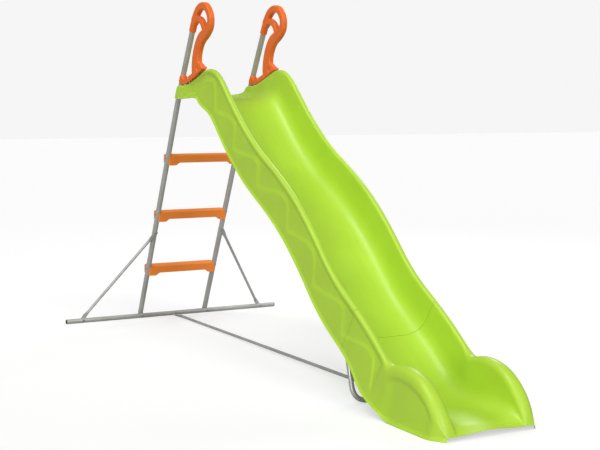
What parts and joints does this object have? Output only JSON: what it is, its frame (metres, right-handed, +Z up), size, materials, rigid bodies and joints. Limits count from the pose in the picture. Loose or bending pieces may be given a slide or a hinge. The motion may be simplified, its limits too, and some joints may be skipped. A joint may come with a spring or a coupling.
{
  "type": "toddler slide",
  "caption": "Free-standing garden slide: a moulded two-piece wavy chute on a leaning tubular ladder with moulded treads, looped handrails, a cross bar and a ground tube.",
  "frame": {"origin": "on the ground, under the middle of the whole slide's footprint", "axes": "+X runs down the slide from the ladder towards the chute's foot, +Y to the left of a child sliding down, +Z up"},
  "size_m": [3.0268, 1.289, 1.705],
  "materials": {
    "chute_plastic": "satin moulded polyethylene, light green",
    "moulding_plastic": "satin moulded plastic, orange",
    "tube_metal": "grey powder coat on steel tube",
    "fastener_steel": "zinc-plated steel",
    "plug_plastic": "black plastic plugs"
  },
  "bodies": {
    "root": {"bar_bolt_left": "fastener_steel", "bar_bolt_right": "fastener_steel", "bar_nut_left": "fastener_steel", "bar_nut_right": "fastener_steel", "bar_plug_left": "plug_plastic", "bar_plug_right": "plug_plastic", "base_bar": "tube_metal", "brace_high_bolt_left": "fastener_steel", "brace_high_bolt_right": "fastener_steel", "brace_high_nut_left": "fastener_steel", "brace_high_nut_right": "fastener_steel", "brace_left": "tube_metal", "brace_low_bolt_left": "fastener_steel", "brace_low_bolt_right": "fastener_steel", "brace_low_nut_left": "fastener_steel", "brace_low_nut_right": "fastener_steel", "brace_right": "tube_metal", "chute_bolt_left": "fastener_steel", "chute_bolt_right": "fastener_steel", "chute_nut_left": "fastener_steel", "chute_nut_right": "fastener_steel", "front_support": "tube_metal", "ground_tube_bolt": "fastener_steel", "ground_tube_front": "tube_metal", "ground_tube_nut": "fastener_steel", "ground_tube_rear": "tube_metal", "handle_left": "moulding_plastic", "handle_right": "moulding_plastic", "handle_screw_1_left": "fastener_steel", "handle_screw_1_right": "fastener_steel", "handle_screw_2_left": "fastener_steel", "handle_screw_2_right": "fastener_steel", "lower_chute": "chute_plastic", "lower_post_left": "tube_metal", "lower_post_right": "tube_metal", "rung_1": "moulding_plastic", "rung_2": "moulding_plastic", "rung_3": "moulding_plastic", "rung_screw_1_left": "fastener_steel", "rung_screw_1_right": "fastener_steel", "rung_screw_2_left": "fastener_steel", "rung_screw_2_right": "fastener_steel", "rung_screw_3_left": "fastener_steel", "rung_screw_3_right": "fastener_steel", "support_screw": "fastener_steel", "upper_chute": "chute_plastic", "upper_post_left": "tube_metal", "upper_post_right": "tube_metal"}
  },
  "joints": []
}
